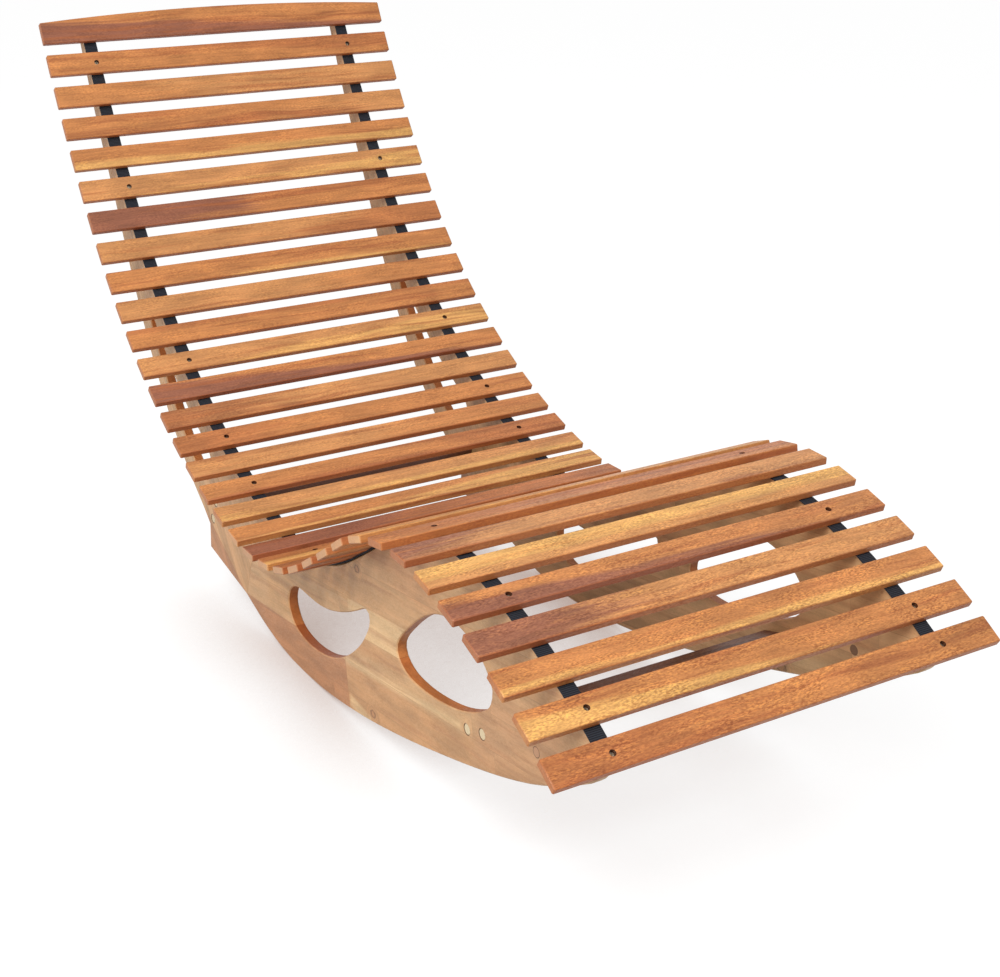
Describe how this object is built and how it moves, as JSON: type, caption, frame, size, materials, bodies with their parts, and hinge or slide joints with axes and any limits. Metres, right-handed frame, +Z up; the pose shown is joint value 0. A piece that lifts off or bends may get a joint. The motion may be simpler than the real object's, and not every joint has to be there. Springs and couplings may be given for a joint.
{
  "type": "rocking chaise lounge",
  "caption": "Rocking chaise lounge: wooden slats on webbing straps over curved side frames with cut-outs, rocker undersides and a long heel, tied by stretchers.",
  "frame": {"origin": "on the floor, in the middle of the bounding box, with the chaise at rest", "axes": "+X toward the sitter's left hand, -Y toward the foot end, +Y toward the head end, +Z up"},
  "size_m": [0.6, 1.5566, 0.8242],
  "materials": {
    "frame_wood": "oiled satin",
    "stretcher_wood": "oiled satin",
    "slat_wood_plum": "oiled satin",
    "slat_wood_umber": "oiled satin",
    "slat_wood_russet": "oiled satin",
    "slat_wood_amber": "oiled satin",
    "slat_wood_honey": "oiled satin",
    "slat_wood_gold": "oiled satin",
    "cap_wood": "raw",
    "webbing": "woven",
    "steel": "satin"
  },
  "bodies": {
    "root": {"slat_01": "slat_wood_plum", "slat_02": "slat_wood_amber", "slat_03": "slat_wood_gold", "slat_04": "slat_wood_amber", "slat_05": "slat_wood_gold", "slat_06": "slat_wood_gold", "slat_07": "slat_wood_plum", "slat_08": "slat_wood_russet", "slat_09": "slat_wood_gold", "slat_10": "slat_wood_gold", "slat_11": "slat_wood_umber", "slat_12": "slat_wood_gold", "slat_13": "slat_wood_umber", "slat_14": "slat_wood_umber", "slat_15": "slat_wood_amber", "slat_16": "slat_wood_umber", "slat_17": "slat_wood_amber", "slat_18": "slat_wood_gold", "slat_19": "slat_wood_gold", "slat_20": "slat_wood_plum", "slat_21": "slat_wood_honey", "slat_22": "slat_wood_russet", "slat_23": "slat_wood_honey", "slat_24": "slat_wood_gold", "slat_25": "slat_wood_honey", "slat_26": "slat_wood_umber", "slat_27": "slat_wood_honey", "slat_28": "slat_wood_gold", "slat_29": "slat_wood_honey", "slat_30": "slat_wood_amber", "slat_31": "slat_wood_plum", "slat_32": "slat_wood_russet", "slat_33": "slat_wood_amber", "slat_34": "slat_wood_gold", "slat_35": "slat_wood_amber", "webbing_right": "webbing", "webbing_left": "webbing", "back_panel_right": "frame_wood", "base_panel_right": "frame_wood", "back_panel_left": "frame_wood", "base_panel_left": "frame_wood", "stretcher_rear": "stretcher_wood", "stretcher_front": "stretcher_wood", "frame_screw_rear_right_1": "steel", "frame_screw_rear_right_2": "steel", "frame_screw_rear_left_1": "steel", "frame_screw_rear_left_2": "steel", "frame_screw_front_right_1": "steel", "frame_screw_front_right_2": "steel", "frame_screw_front_left_1": "steel", "frame_screw_front_left_2": "steel", "screw_cap_rear_right_1": "cap_wood", "screw_cap_rear_right_2": "cap_wood", "screw_cap_rear_left_1": "cap_wood", "screw_cap_rear_left_2": "cap_wood", "screw_cap_front_right_1": "cap_wood", "screw_cap_front_right_2": "cap_wood", "screw_cap_front_left_1": "cap_wood", "screw_cap_front_left_2": "cap_wood"}
  },
  "joints": []
}
